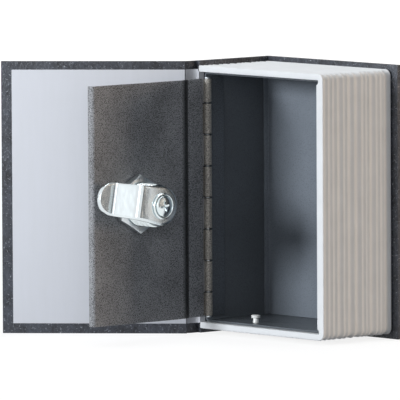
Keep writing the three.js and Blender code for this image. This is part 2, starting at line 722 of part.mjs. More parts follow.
function cupWasher() {
  const seat = CAM_TOP + LOOSE_GAP / 2;
  const high = seat + CUP_WASHER_HEIGHT;
  const inner = SCREW_HEAD_RADIUS + LOOSE_GAP;
  const bore = SCREW_SHANK_RADIUS + LOOSE_GAP;
  const floor = seat + CUP_WASHER_HEIGHT / 3;
  const profile = [
    [bore, seat],
    [CUP_WASHER_RADIUS, seat],
    [CUP_WASHER_RADIUS, high - CUP_WASHER_HEIGHT / 3],
    [(CUP_WASHER_RADIUS + inner) / 2, high],
    [inner, high],
    [inner, floor],
    [bore, floor],
    [bore, seat],
  ];
  return turned(profile);
}

function camScrew() {
  const seat = CAM_TOP + LOOSE_GAP / 2 + CUP_WASHER_HEIGHT / 3 + LOOSE_GAP;
  const top = seat + SCREW_HEAD_HEIGHT;
  const body = turned([
    [0, CAM_TOP - SCREW_SHANK_LENGTH],
    [SCREW_SHANK_RADIUS, CAM_TOP - SCREW_SHANK_LENGTH],
    [SCREW_SHANK_RADIUS, seat],
    [SCREW_HEAD_RADIUS, seat],
    [SCREW_HEAD_RADIUS, seat + SCREW_HEAD_HEIGHT / 3],
    [SCREW_HEAD_RADIUS * 0.8, top - SCREW_HEAD_HEIGHT / 6],
    [0, top],
  ], SMALL_ROUND_STEPS);
  const wide = RECESS_WIDTH / 2;
  const long = RECESS_LENGTH / 2;
  const low = top - RECESS_DEPTH;
  const high = top + OVERRUN;
  return cut(body, block(-wide, wide, low, high, -long, long), block(-long, long, low, high, -wide, wide));
}

// Covers

// Leatherette round a board: outer face, edges and turn-ins on the side towards +Y
function wrap(x0, x1, y0, y1, turnIns) {
  const skin = LEATHERETTE;
  const outside = block(x0, x1, y0, y1, 0, COVER_HEIGHT);
  const hollow = block(x0 + skin, x1 - skin, y0 + skin, y1 - skin, skin, COVER_HEIGHT - skin);
  const window = block(
    x0 + turnIns.left,
    x1 - turnIns.right,
    (y0 + y1) / 2,
    y1 + OVERRUN,
    TURN_IN,
    COVER_HEIGHT - TURN_IN,
  );
  return cut(outside, hollow, window);
}

// Board inside a wrap that fills the same corners
function core(x0, x1, y0, y1) {
  const inset = LEATHERETTE + GLUE_GAP;
  return block(x0 + inset, x1 - inset, y0 + inset, y1 - inset, inset, COVER_HEIGHT - inset);
}

// Strip of cloth or paper in plan, bowed over a joint
function jointStrip(start, end, bow, thick, z0, z1) {
  const middle = new THREE.QuadraticBezierCurve(
    new THREE.Vector2(...start),
    new THREE.Vector2((start[0] + end[0]) / 2 + bow[0], (start[1] + end[1]) / 2 + bow[1]),
    new THREE.Vector2(...end),
  );
  const points = middle.getPoints(2 * BEND_STEPS).map((p) => [p.x, p.y]);
  return upright(thicken(points, thick), z0, z1);
}

// Where a point of the shut cover lies once the cover is open
function whenCoverOpen(x, y) {
  const point = new THREE.Vector2(x, y).rotateAround(COVER_AXIS, -COVER_OPEN_ANGLE);
  return [point.x, point.y];
}

// The shut front cover
const COVER_LEFT = SPINE_OUTER + COVER_JOINT_WIDTH;
const COVER_RIGHT = COVER_LEFT + COVER_WIDTH;
const COVER_INNER = -COVER_SEAT_GAP - ENDPAPER;
const COVER_OUTER = COVER_INNER - BOARD_THICK;

function piece(name, geometry, look) {
  const mesh = new THREE.Mesh(geometry, look);
  mesh.name = name;
  return mesh;
}

function at(x, y, z, turn, ...children) {
  const group = new THREE.Group();
  group.position.set(x, y, z);
  group.rotation.z = turn;
  group.add(...children);
  return group;
}

function caseParts() {
  const skinGap = SPINE_SEAT_GAP;
  const boardTurnIns = { left: LEATHERETTE, right: TURN_IN };
  const rearWrap = wrap(REAR_LEFT, REAR_RIGHT, -REAR_OUTER, -REAR_INNER, boardTurnIns);
  const rearCore = core(REAR_LEFT, REAR_RIGHT, -REAR_OUTER, -REAR_INNER);
  const spineWrap = wrap(-REAR_INNER, -SPINE_SETBACK, SPINE_OUTER, SPINE_INNER, {
    left: LEATHERETTE,
    right: LEATHERETTE,
  });
  const spineCore = core(-REAR_INNER, -SPINE_SETBACK, SPINE_OUTER, SPINE_INNER);
  const paper = block(
    skinGap,
    REAR_RIGHT - TURN_IN_SHOWN_FORE,
    BLOCK_DEPTH + skinGap,
    BLOCK_DEPTH + skinGap + ENDPAPER,
    TURN_IN_SHOWN_TAIL,
    COVER_HEIGHT - TURN_IN_SHOWN_HEAD,
  );
  const coverCorner = whenCoverOpen(COVER_LEFT, COVER_OUTER);
  const coverEdge = whenCoverOpen(COVER_LEFT, COVER_INNER);
  const cloth = LEATHERETTE;
  const frontJoint = jointStrip(
    [SPINE_OUTER + cloth / 2, SPINE_SETBACK - LOOSE_GAP],
    [coverCorner[0] - cloth / 2, coverCorner[1] + LOOSE_GAP],
    [-JOINT_SLACK, 0],
    cloth,
    0,
    COVER_HEIGHT,
  );
  const jointPaper = jointStrip(
    [SPINE_INNER + ENDPAPER + LOOSE_GAP, -LOOSE_GAP],
    [coverEdge[0] + LOOSE_GAP, coverEdge[1] + LOOSE_GAP],
    [JOINT_SLACK, 0],
    ENDPAPER,
    TURN_IN_SHOWN_TAIL,
    COVER_HEIGHT - TURN_IN_SHOWN_HEAD,
  );
  const rearJoint = jointStrip(
    [SPINE_OUTER + cloth / 2, REAR_INNER + LOOSE_GAP],
    [REAR_LEFT - LOOSE_GAP, REAR_OUTER - cloth / 2],
    [-JOINT_SLACK, JOINT_SLACK],
    cloth,
    0,
    COVER_HEIGHT,
  );
  return [
    piece('rear_board', rearCore.rotateX(Math.PI).translate(0, 0, COVER_HEIGHT), BOARD_LOOK),
    piece('rear_leatherette', rearWrap.rotateX(Math.PI).translate(0, 0, COVER_HEIGHT), LEATHERETTE_LOOK),
    piece('spine_board', spineCore.rotateZ(-Math.PI / 2), BOARD_LOOK),
    piece('spine_leatherette', spineWrap.rotateZ(-Math.PI / 2), LEATHERETTE_LOOK),
    piece('rear_joint', rearJoint, LEATHERETTE_LOOK),
    piece('front_joint', frontJoint, LEATHERETTE_LOOK),
    piece('joint_endpaper', jointPaper, PAPER_LOOK),
    piece('rear_endpaper', paper, PAPER_LOOK),
  ];
}

function boxParts() {
  return [
    piece('page_block', pageBlock(), BLOCK_LOOK),
    piece('box_walls', boxWalls(), STEEL_LOOK),
    piece('box_back', boxBack(), STEEL_LOOK),
    piece('lock_strike', strike(), STEEL_LOOK),
    piece('floor_stud', stud().translate(STUD_INSET, STUD_DEPTH, BLOCK_BOTTOM), CAP_LOOK),
    piece('floor_stud_cap', studCap().translate(STUD_INSET, STUD_DEPTH, BLOCK_BOTTOM), CAP_LOOK),
    at(HINGE_AXIS.x, HINGE_AXIS.y, MID_HEIGHT, 0, piece('hinge_pin', hingePin(), ZINC_LOOK)),
    piece('box_hinge_leaf', boxHingeLeaf(), STEEL_LOOK),
  ];
}

// The box's leaf lies along the spine-side wall, so the door's leaf is mirrored and turned
function boxHingeLeaf() {
  const leaf = toSolid(hingeLeaf(0)).mirror([0, 1, 0]).rotate([0, 0, 90]);
  return toGeometry(leaf.translate([HINGE_AXIS.x, HINGE_AXIS.y, 0]));
}

function doorParts() {
  const turning = new THREE.Group();
  turning.position.set(LOCK_FROM_HINGE, 0, MID_HEIGHT);
  turning.rotation.y = -CAM_TILT_ANGLE;
  turning.add(
    piece('lock_plug', lockPlug(), ZINC_LOOK),
    ...Array.from({ length: WAFER_COUNT }, (_, i) => piece(`lock_wafer_${i + 1}`, lockWafer(i), BRASS_LOOK)),
    piece('stop_washer', stopWasher(), ZINC_LOOK),
    piece('lock_cam', camPlate(), CHROME_LOOK),
    piece('cup_washer', cupWasher(), CHROME_LOOK),
    piece('cam_screw', camScrew(), CHROME_LOOK),
  );
  const housing = lockHousing().translate(LOCK_FROM_HINGE, 0, MID_HEIGHT);
  const nut = lockNut().translate(LOCK_FROM_HINGE, 0, MID_HEIGHT);
  return [
    piece('door_sheet', doorSheet(), STEEL_LOOK),
    piece('door_hinge_leaf', hingeLeaf(1), STEEL_LOOK),
    piece('lock_housing', housing, CHROME_LOOK),
    piece('lock_nut', nut, CHROME_LOOK),
    turning,
  ];
}

function coverParts() {
  const shift = (geometry) => geometry.translate(-COVER_AXIS.x, -COVER_AXIS.y, 0);
  const skin = wrap(COVER_LEFT, COVER_RIGHT, COVER_OUTER, COVER_INNER, { left: LEATHERETTE, right: TURN_IN });
  const board = core(COVER_LEFT, COVER_RIGHT, COVER_OUTER, COVER_INNER);
  const paper = block(
    COVER_LEFT + ENDPAPER,
    COVER_RIGHT - TURN_IN_SHOWN_FORE,
    COVER_INNER + GLUE_GAP,
    COVER_INNER + GLUE_GAP + ENDPAPER,
    TURN_IN_SHOWN_TAIL,
    COVER_HEIGHT - TURN_IN_SHOWN_HEAD,
  );
  return [
    piece('front_board', shift(board), BOARD_LOOK),
    piece('front_leatherette', shift(skin), LEATHERETTE_LOOK),
    piece('front_endpaper', shift(paper), PAPER_LOOK),
  ];
}

// The whole book stands with its origin under the middle of the rear cover's tail edge
const safe = at(
  -(REAR_LEFT + REAR_RIGHT) / 2,
  -(REAR_INNER + REAR_OUTER) / 2,
  0,
  0,
  ...caseParts(),
  ...boxParts(),
  at(HINGE_AXIS.x, HINGE_AXIS.y, 0, -DOOR_OPEN_ANGLE, ...doorParts()),
  at(COVER_AXIS.x, COVER_AXIS.y, 0, -COVER_OPEN_ANGLE, ...coverParts()),
);

export default safe;
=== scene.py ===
"""Looks of a small book diversion safe that stands open on its tail edges.

Metres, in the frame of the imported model: +X runs from the spine to the fore-edge, +Y from the
front cover to the rear cover, +Z up. A studio frame, with the camera looking along its +Y, is
turned against the book by BOOK_TURN.
"""

import json
import math

import bmesh
import bpy
from mathutils import Matrix, Vector, noise


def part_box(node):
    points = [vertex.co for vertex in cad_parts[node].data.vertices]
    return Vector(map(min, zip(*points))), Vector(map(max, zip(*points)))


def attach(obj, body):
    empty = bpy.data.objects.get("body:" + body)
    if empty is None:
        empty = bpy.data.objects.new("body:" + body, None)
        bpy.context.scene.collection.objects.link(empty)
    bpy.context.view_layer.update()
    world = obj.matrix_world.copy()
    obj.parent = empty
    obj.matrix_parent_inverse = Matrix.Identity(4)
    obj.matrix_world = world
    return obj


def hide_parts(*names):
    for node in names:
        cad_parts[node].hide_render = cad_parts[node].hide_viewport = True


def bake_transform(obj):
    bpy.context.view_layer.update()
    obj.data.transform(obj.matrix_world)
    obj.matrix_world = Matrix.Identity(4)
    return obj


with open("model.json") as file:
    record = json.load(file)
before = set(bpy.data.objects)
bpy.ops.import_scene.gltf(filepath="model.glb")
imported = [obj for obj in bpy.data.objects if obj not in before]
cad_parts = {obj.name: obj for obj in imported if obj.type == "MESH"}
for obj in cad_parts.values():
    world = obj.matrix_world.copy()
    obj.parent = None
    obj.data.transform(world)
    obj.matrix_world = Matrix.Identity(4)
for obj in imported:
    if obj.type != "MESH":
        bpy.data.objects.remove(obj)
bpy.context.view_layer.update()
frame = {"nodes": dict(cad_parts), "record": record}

MM = 0.001

# Camera, from the photograph's perspective
FRAME_PIXELS = 400
FOCAL_PIXELS = 8562.7
SENSOR_WIDTH = 36.0
CAMERA_PLACE = Vector((0.0, -3.6859, 0.3744))
CAMERA_PITCH = 0.0857
CAMERA_ROLL = 0.0054
BOOK_TURN = 0.8397
BOOK_SHIFT = Vector((-0.0002, 0.00096, 0.0))

# Studio, in metres and linear colours: the lamps' target, the weak ambient light, the grey card
# that stands to the right, and the floor, which turns from shadowed to white away from the object
LAMP_TARGET = (0.0, 0.0, 0.06)
AMBIENT_COLOUR, AMBIENT_STRENGTH = (0.93, 0.96, 1.0, 1.0), 0.07
CARD_AT, CARD_SPAN, CARD_RISE = 0.5, (-0.38, 0.5), (-0.1, 0.6)
CARD_COLOUR = (0.13, 0.14, 0.15, 1.0)
FLOOR_REACH = 6.0
FLOOR_COLOUR, FLOOR_BOUNCE = (0.9, 0.9, 0.9, 1.0), (0.23, 0.245, 0.27, 1.0)
FLOOR_FADE, FLOOR_WHITE, FLOOR_GLOW = (0.15, 0.8), (0.72, 1.0), 1.15

# The page block's front corner at the spine, on the floor
BLOCK_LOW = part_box("page_block")[0]
BLOCK_CORNER = Vector((BLOCK_LOW.x, BLOCK_LOW.y, 0.0))

# Sizes of the part in millimetres, as the CAD source has them: X from the spine, Y from the front
# of the page block and Z up from the floor
PLACE = Matrix.Translation(BLOCK_CORNER) @ Matrix.Scale(MM, 4)

# Page block
BLOCK_WIDTH, BLOCK_DEPTH = 78.5, 40.1
TAIL, HEAD = 1.9, 116.0
POCKET_RIGHT, POCKET_LOW, POCKET_HIGH = 75.5, 4.7, 113.2
CORNER = 3.0
EDGE_ROUND = 0.55
RIB_DEPTH, RIB_STEEPNESS = 0.85, 0.2
RIB_SHARES = (0.08, 0.145, 0.21, 0.3, 0.36, 0.46, 0.565, 0.625, 0.675, 0.775, 0.835, 0.895)
RIB_DRIFT, RIB_UNEVEN, RIB_FADE, RIB_STEPS = 0.10, 0.05, 1.5, 210
RIM_LIP, LIP_DEPTH, LIP_START, LIP_RISE, LIP_ROUND = 1.0, 2.2, 1.3, 0.9, 0.4
LIP_STATIONS = (0.0, 0.5, 0.9, 1.1, 1.3, 1.5, 1.7, 1.9, 2.2)
STUD_AT, STUD_HEAD, STUD_SINK, STUD_SHANK = (25.7, 9.2), 3.0, 3.2, 1.55
STUD_THROUGH = (-1, 6)

# Covers, and the leatherette and paper across the front joint
COVER_HEIGHT = 118.0
COVER_AXIS = Vector((-0.84, -3.1))
COVER_OPEN = math.radians(136.2)
COVER_LEFT = 1.96
COVER_INNER, COVER_OUTER = -1.2, -3.54
SPINE_OUTER, SPINE_FRONT = -2.44, 1.0
CLOTH_SHEET, CLOTH_INSET, CLOTH_LAP = 0.34, 0.02, 0.5
CLOTH_BULGE, CLOTH_EASE = -1.4, 1.6
PAPER_SHEET, PAPER_LAP, PAPER_EASE = 0.12, 1.6, 0.6
PAPER_FACE, PAPER_INSIDE = -0.83, -0.08
PAPER_TUCKED, PAPER_BULGE = (2.9, 2.0, 1.0), (-2.4, -1.2)
PAPER_LOW, PAPER_HIGH, PAPER_PLAY, PAPER_MOUTH = 4.35, 114.4, 0.05, -0.1

# Door and hinge
DOOR_OPEN = math.radians(90)
HINGE_AXIS = (3.2, 2.0)
KNUCKLE_PITCH, KNUCKLE_EDGE, KNUCKLE_GAP_SHADE = 13.65, (1.95, 2.3), (0.3, 0.55)
DOOR_WIDTH, DOOR_HEIGHT, DOOR_SHEET, DOOR_FLANGE, DOOR_BEND = 67.9, 103.1, 1.0, 2.1, 1.5
DOOR_START, DOOR_FACE, DOOR_EDGE_ROUND = 2.9, 2.2, 0.22
DOOR_CREASE, DOOR_ROLL, DOOR_ROLL_TURN = 11.7, 8.1, math.radians(40)
DOOR_FLAT = DOOR_FACE - DOOR_ROLL * (1 - math.cos(DOOR_ROLL_TURN))

# Lock, its axis along Y from the door
LOCK_AT = (43.55, 0.0, 58.95)
CAM_TILT = math.radians(10.3)
BARREL_RADIUS, BARREL_PLAY = 9.3, 0.3
BARREL_FROM, BARREL_END, FLATS = 0.9, 16.1, 8.0
THREAD_PITCH, THREAD_DEPTH, THREAD_LEAD, THREAD_STEPS = 1.0, 0.42, (0.45, 0.6), 150
HEAD_FRONT, HEAD_SEAT, HEAD_RADIUS = BARREL_FROM - 2.9, BARREL_FROM - 0.3, 11.0
PLUG_BORE, PLUG_MOUTH, PLUG_MOUTH_DEPTH = 6.3, 7.7, 1.45
POST_HALF_WIDTH, POST_OUTER, POST_INNER = 0.9, 7.9, 6.9
POST_LEVELS = (BARREL_END - 0.3, BARREL_END + 1.2)
CAM_TOP, CAM_SHEET, CAM_ROLL = 19.6, 2.0, 0.4
CAM_HUB, CAM_TIP, CAM_LENGTH = 8.3, 7.1, 27.0
CAM_DROP, CAM_HUB_FLAT, CAM_TIP_FLAT, CAM_FOLD = 10.2, 12.6, 8.8, 1.5
WORN_SPAN, WORN_ROUGHER = (7.0, 10.5), 0.06
WASHER_SEAT, WASHER_BORE, WASHER_RADIUS = CAM_TOP + 0.15, 2.3, 5.7
WASHER_SHEET, WASHER_HEIGHT = 0.35, 0.9
SCREW_SEAT, SCREW_SHANK, SCREW_RADIUS, SCREW_LENGTH = CAM_TOP + 0.58, 2.0, 4.4, 6
SCREW_RIM, SCREW_DOME = 0.4, 0.7
RECESS_HALF_WIDTH, RECESS_TURN = 0.42, 0.35

DOOR = PLACE @ Matrix.Translation((*HINGE_AXIS, 0.0)) @ Matrix.Rotation(-DOOR_OPEN, 4, "Z")
HOUSING = DOOR @ Matrix.Translation(LOCK_AT)
LOCK = HOUSING @ Matrix.Rotation(-CAM_TILT, 4, "Y")

# Degrees between two faces from which their edge shows sharp, and from which it is rounded
SHARP_ANGLE, SOFTENED_ANGLE = 35, 30

# Each CAD node that is only refined, with the radius in millimetres and the steps of its rounded
# edges, and a finish other than its slot's
REFINED = {
    "door_hinge_leaf": (0.34, 3, "hinge_enamel"),
    "box_hinge_leaf": (0.34, 3, "hinge_enamel"),
    # The walls take the darker copy of the box enamel, as painted shade.
    "box_walls": (0.12, 2, "box_enamel_shaded"),
    "box_back": (0.35, 3, None),
    "lock_strike": (0.12, 2, None),
    "rear_leatherette": (0.3, 3, None),
    "front_leatherette": (0.3, 3, None),
    "spine_leatherette": (0.3, 3, None),
    "rear_endpaper": (0.08, 2, None),
    "front_endpaper": (0.08, 2, None),
    "lock_nut": (0.34, 3, "zinc"),
    "lock_plug": (0.12, 2, None),
    "stop_washer": (0.12, 2, None),
    "hinge_pin": (0.12, 2, None),
    "floor_stud": (0.15, 2, None),
    "floor_stud_cap": (0.15, 2, None),
    "rear_joint": (0.05, 2, None),
}


def srgb(red, green, blue):
    """A colour as the screen shows it, 0 to 255, in the linear values that shaders take."""
    def linear(value):
        share = value / 255
        return share / 12.92 if share <= 0.04045 else ((share + 0.055) / 1.055) ** 2.4
    return (linear(red), linear(green), linear(blue), 1.0)


def from_studio(point):
    """A studio point in the book's frame."""
    return Matrix.Rotation(BOOK_TURN, 3, "Z") @ (Vector(point) - BOOK_SHIFT) + BLOCK_CORNER


def link(item):
    """Puts an object into the scene."""
    bpy.context.scene.collection.objects.link(item)
    return item


def add_node(tree, kind, **inputs):
    """A shader node with some of its inputs set."""
    node = tree.nodes.new("ShaderNode" + kind)
    for name, value in inputs.items():
        node.inputs[name].default_value = value
    return node


def add_range(tree, value, low, high, to_low, to_high):
    """A node that maps one span of values to another and holds it beyond the ends."""
    node = add_node(tree, "MapRange")
    for name, number in zip(("From Min", "From Max", "To Min", "To Max"), (low, high, to_low, to_high)):
        node.inputs[name].default_value = number
    tree.links.new(value, node.inputs["Value"])
    return node


# Camera, world, lamps and floor

def make_camera():
    """A long lens on the studio's centre line, a little above the book and rolled a little."""
    data = bpy.data.cameras.new("camera")
    data.sensor_width = SENSOR_WIDTH
    data.lens = FOCAL_PIXELS / FRAME_PIXELS * SENSOR_WIDTH
    camera = link(bpy.data.objects.new("camera", data))
    look = Matrix.Rotation(math.pi / 2 - CAMERA_PITCH, 4, "X") @ Matrix.Rotation(-CAMERA_ROLL, 4, "Z")
    turn = Matrix.Rotation(BOOK_TURN, 4, "Z") @ look
    camera.matrix_world = Matrix.Translation(from_studio(CAMERA_PLACE)) @ turn
    bpy.context.scene.camera = camera


def seen_as(tree, *kinds):
    """One for a ray of any of these kinds and zero for the others."""
    path = add_node(tree, "LightPath")
    seen = path.outputs[f"Is {kinds[0]} Ray"]
    for kind in kinds[1:]:
        either = add_node(tree, "Math")
        either.operation = "MAXIMUM"
        tree.links.new(seen, either.inputs[0])
        tree.links.new(path.outputs[f"Is {kind} Ray"], either.inputs[1])
        seen = either.outputs[0]
    return seen


def make_world():
    """White to the eye and in reflections, and weak ambient light for all else."""
    world = bpy.data.worlds.new("studio")
    world.use_nodes = True
    bpy.context.scene.world = world
    tree = world.node_tree
    tree.nodes.clear()
    ambient = add_node(tree, "Background", Color=AMBIENT_COLOUR, Strength=AMBIENT_STRENGTH)
    white = add_node(tree, "Background", Color=(1.0, 1.0, 1.0, 1.0), Strength=1.0)
    mix = add_node(tree, "MixShader")
    tree.links.new(seen_as(tree, "Camera", "Glossy", "Transmission"), mix.inputs["Fac"])
    tree.links.new(ambient.outputs[0], mix.inputs[1])
    tree.links.new(white.outputs[0], mix.inputs[2])
    output = add_node(tree, "OutputWorld")
    tree.links.new(mix.outputs[0], output.inputs["Surface"])


def area_lamp(name, place, size, power, colour):
    """A square soft lamp in studio metres, turned to the middle of the book."""
    data = bpy.data.lights.new(name, "AREA")
    data.shape = "RECTANGLE"
    data.size, data.size_y = size, size
    data.energy = power
    data.color = colour
    lamp = link(bpy.data.objects.new(name, data))
    lamp.location = from_studio(place)
    direction = from_studio(LAMP_TARGET) - lamp.location
    lamp.rotation_euler = direction.to_track_quat("-Z", "Y").to_euler()


def make_lamps():
    """A small cool key low on the left, a warm fill on the right, and weak light in front and above."""
    area_lamp("key_lamp", (-1.13, -0.885, 0.39), 0.33, 18.4, (0.91, 0.95, 1.0))
    area_lamp("front_lamp", (0.0, -1.45, 0.45), 0.6, 2.1, (0.97, 0.98, 1.0))
    area_lamp("fill_lamp", (1.40, -0.30, 0.2), 0.4, 6.9, (1.0, 0.82, 0.66))
    area_lamp("top_lamp", (0.1, 0.1, 1.3), 0.6, 5.8, (0.95, 0.97, 1.0))


def make_card():
    """A grey card to the right, out of the picture, that only polished metal shows."""
    mesh = bpy.data.meshes.new("card")
    (near, far), (low, high) = CARD_SPAN, CARD_RISE
    corners = [(CARD_AT, near, low), (CARD_AT, far, low), (CARD_AT, far, high), (CARD_AT, near, high)]
    mesh.from_pydata([from_studio(corner) for corner in corners], [], [(0, 1, 2, 3)])
    card = link(bpy.data.objects.new("card", mesh))
    material = bpy.data.materials.new("card_grey")
    material.use_nodes = True
    tree = material.node_tree
    tree.nodes.clear()
    glow = add_node(tree, "Emission", Color=CARD_COLOUR)
    output = add_node(tree, "OutputMaterial")
    tree.links.new(glow.outputs[0], output.inputs["Surface"])
    mesh.materials.append(material)
    card.visible_camera = False
    card.visible_diffuse = False
    card.visible_shadow = False


def make_floor():
    """White to the eye, with the object's shadow, and a grey that throws little light back."""
    mesh = bpy.data.meshes.new("floor")
    reach = FLOOR_REACH
    corners = [(-reach, -reach, 0.0), (reach, -reach, 0.0), (reach, reach, 0.0), (-reach, reach, 0.0)]
    mesh.from_pydata(corners, [], [(0, 1, 2, 3)])
    floor = link(bpy.data.objects.new("floor", mesh))
    material = bpy.data.materials.new("floor_white")
    material.use_nodes = True
    tree = material.node_tree
    plain = tree.nodes["Principled BSDF"]
    plain.inputs["Roughness"].default_value = 0.9
    seen = seen_as(tree, "Camera", "Glossy")
    tone = add_node(tree, "Mix")
    tone.data_type = "RGBA"
    tone.inputs[6].default_value = FLOOR_BOUNCE
    tone.inputs[7].default_value = FLOOR_COLOUR
    tree.links.new(seen, tone.inputs["Factor"])
    tree.links.new(tone.outputs[2], plain.inputs["Base Color"])
    place = add_node(tree, "TexCoord")
    away = add_node(tree, "VectorMath")
    away.operation = "LENGTH"
    tree.links.new(place.outputs["Object"], away.inputs[0])
    fade = add_range(tree, away.outputs["Value"], *FLOOR_FADE, *FLOOR_WHITE)
    fade.interpolation_type = "SMOOTHSTEP"
    share = add_node(tree, "Math")
    share.operation = "MULTIPLY"
    tree.links.new(fade.outputs["Result"], share.inputs[0])
    tree.links.new(seen, share.inputs[1])
    glow = add_node(tree, "Emission", Strength=FLOOR_GLOW)
    mix = add_node(tree, "MixShader")
    tree.links.new(share.outputs[0], mix.inputs["Fac"])
    tree.links.new(plain.outputs[0], mix.inputs[1])
    tree.links.new(glow.outputs[0], mix.inputs[2])
    tree.links.new(mix.outputs[0], tree.nodes["Material Output"].inputs["Surface"])
    mesh.materials.append(material)


# Materials

class Finish:
    """One material's shader, whose textures lie on the piece itself, in millimetres."""

    def __init__(self, name, roughness, metallic=0.0):
        self.material = bpy.data.materials.new(name)
        self.material.use_nodes = True
        self.tree = self.material.node_tree
        self.surface = self.tree.nodes["Principled BSDF"]
        self.surface.inputs["Roughness"].default_value = roughness
        self.surface.inputs["Metallic"].default_value = metallic
        place = add_node(self.tree, "TexCoord")
        self.place = self.vector_math("MULTIPLY", place.outputs["Object"], (1 / MM, 1 / MM, 1 / MM))

    def feed(self, socket, value):
        """Links another socket in, or sets a fixed value."""
        if isinstance(value, bpy.types.NodeSocket):
            self.tree.links.new(value, socket)
        else:
            socket.default_value = value

    def math(self, operation, *values):
        node = add_node(self.tree, "Math")
        node.operation = operation
        for socket, value in zip(node.inputs, values):
            self.feed(socket, value)
        return node.outputs[0]

    def vector_math(self, operation, *values):
        node = add_node(self.tree, "VectorMath")
        node.operation = operation
        for socket, value in zip(node.inputs, values):
            self.feed(socket, value)
        return node.outputs["Value" if operation == "LENGTH" else "Vector"]

    def range(self, value, low, high, to_low=0.0, to_high=1.0):
        return add_range(self.tree, value, low, high, to_low, to_high).outputs["Result"]

    def weighed(self, *parts):
        """The sum of some values, each with its weight."""
        total = 0.0
        for i, (value, weight) in enumerate(parts):
            term = self.math("MULTIPLY", value, weight)
            total = self.math("ADD", total, term) if i else term
        return total

    def mix(self, factor, first, second):
        node = add_node(self.tree, "Mix")
        node.data_type = "RGBA"
        self.feed(node.inputs["Factor"], factor)
        self.feed(node.inputs[6], first)
        self.feed(node.inputs[7], second)
        return node.outputs[2]

    def toned(self, value, low, high, dark, light):
        """From a dark to a light colour while a value rises from low to high."""
        return self.mix(self.range(value, low, high), dark, light)

    def noise(self, size, detail=3.0, roughness=0.55, stretch=(1, 1, 1), warp=0.0):
        """Cloudy noise whose features are about size millimetres across."""
        node = add_node(self.tree, "TexNoise", Scale=1 / size, Detail=detail, Roughness=roughness,
                        Distortion=warp)
        self.feed(node.inputs["Vector"], self.vector_math("MULTIPLY", self.place, stretch))
        return node.outputs["Fac"]

    def cells(self, size, smooth):
        """Distance from the middles of cells about size millimetres across."""
        node = add_node(self.tree, "TexVoronoi", Scale=1 / size)
        node.feature = "SMOOTH_F1"
        node.inputs["Smoothness"].default_value = smooth
        self.feed(node.inputs["Vector"], self.place)
        return node.outputs["Distance"]

    def warped_cells(self, size, warp):
        """Distance to the borders of crooked cells."""
        push = add_node(self.tree, "TexNoise", Scale=0.9 / size, Detail=3.0)
        self.feed(push.inputs["Vector"], self.place)
        shifted = self.vector_math("MULTIPLY_ADD", push.outputs["Color"], (warp, warp, warp), self.place)
        node = add_node(self.tree, "TexVoronoi", Scale=1 / size)
        node.feature = "DISTANCE_TO_EDGE"
        self.feed(node.inputs["Vector"], shifted)
        return node.outputs["Distance"]

    def distance(self, point, axes):
        """Millimetres from a point of the piece, along some of the axes."""
        offset = self.vector_math("SUBTRACT", self.place, Vector(point) / MM)
        return self.vector_math("LENGTH", self.vector_math("MULTIPLY", offset, axes))

    def along(self, axis):
        """Millimetres along one axis."""
        node = add_node(self.tree, "SeparateXYZ")
        self.feed(node.inputs[0], self.place)
        return node.outputs[axis]

    def colour(self, value):
        self.feed(self.surface.inputs["Base Color"], value)

    def roughness(self, value):
        self.feed(self.surface.inputs["Roughness"], value)

    def specular(self, level):
        self.feed(self.surface.inputs["Specular IOR Level"], level)

    def bump(self, height, depth, strength=1.0):
        """Relief of depth millimetres, over any relief that is there already."""
        node = add_node(self.tree, "Bump", Strength=strength, Distance=depth * MM)
        self.feed(node.inputs["Height"], height)
        normal = self.surface.inputs["Normal"]
        if normal.is_linked:
            self.feed(node.inputs["Normal"], normal.links[0].from_socket)
        self.feed(normal, node.outputs["Normal"])


def leatherette():
    """Dark slate binding cloth: a soft leather relief with sparse fine creases, coloured pale as a painted
    highlight.
    """
    finish = Finish("leatherette", 0.5)
    relief = finish.noise(1.5, detail=4.0, roughness=0.6, stretch=(1, 1, 0.6), warp=1.2)
    cloud = finish.noise(9.0, detail=3.0)
    tone = finish.weighed((relief, 0.6), (cloud, 0.4))
    base = finish.toned(tone, 0.36, 0.66, srgb(28, 29, 33), srgb(76, 80, 89))
    vein = finish.range(finish.warped_cells(2.2, 1.4), 0.0, 0.045, 1.0, 0.0)
    sparse = finish.range(finish.noise(0.9, detail=2.0), 0.54, 0.66)
    crease = finish.math("MULTIPLY", vein, sparse)
    # The pale crease colour is a painted highlight; the crease relief itself is real bump.
    finish.colour(finish.mix(crease, base, srgb(176, 180, 186)))
    finish.roughness(finish.range(relief, 0.35, 0.75, 0.58, 0.3))
    finish.bump(relief, 0.32)
    finish.bump(crease, 0.06, 0.8)
    finish.specular(0.4)
    return finish.material


def board():
    """Grey bookbinding board, pressed from pulp."""
    finish = Finish("board", 0.9)
    fibre = finish.noise(0.7, detail=4.0, stretch=(1, 6, 1))
    finish.colour(finish.toned(fibre, 0.3, 0.7, srgb(128, 122, 112), srgb(156, 150, 140)))
    finish.bump(fibre, 0.05)
    return finish.material


def endpaper():
    """Pale grey-blue paper with faint upright streaks from pasting down."""
    finish = Finish("endpaper", 0.75)
    streak = finish.noise(2.4, detail=3.0, stretch=(1, 1, 0.08))
    cloud = finish.noise(11.0, detail=2.0)
    fibre = finish.noise(0.3, detail=3.0, stretch=(1, 1, 0.4))
    tone = finish.weighed((fibre, 0.25), (cloud, 0.25), (streak, 0.5))
    finish.colour(finish.toned(tone, 0.3, 0.7, srgb(217, 218, 222), srgb(221, 222, 227)))
    finish.bump(streak, 0.05, 0.5)
    finish.bump(fibre, 0.02)
    return finish.material


def page_plastic():
    """White moulded plastic of the page block."""
    finish = Finish("page_plastic", 0.45)
    cloud = finish.noise(9.0, detail=3.0)
    finish.colour(finish.toned(cloud, 0.3, 0.7, srgb(232, 233, 233), srgb(238, 239, 239)))
    finish.bump(finish.noise(0.5, detail=2.0), 0.02, 0.5)
    return finish.material


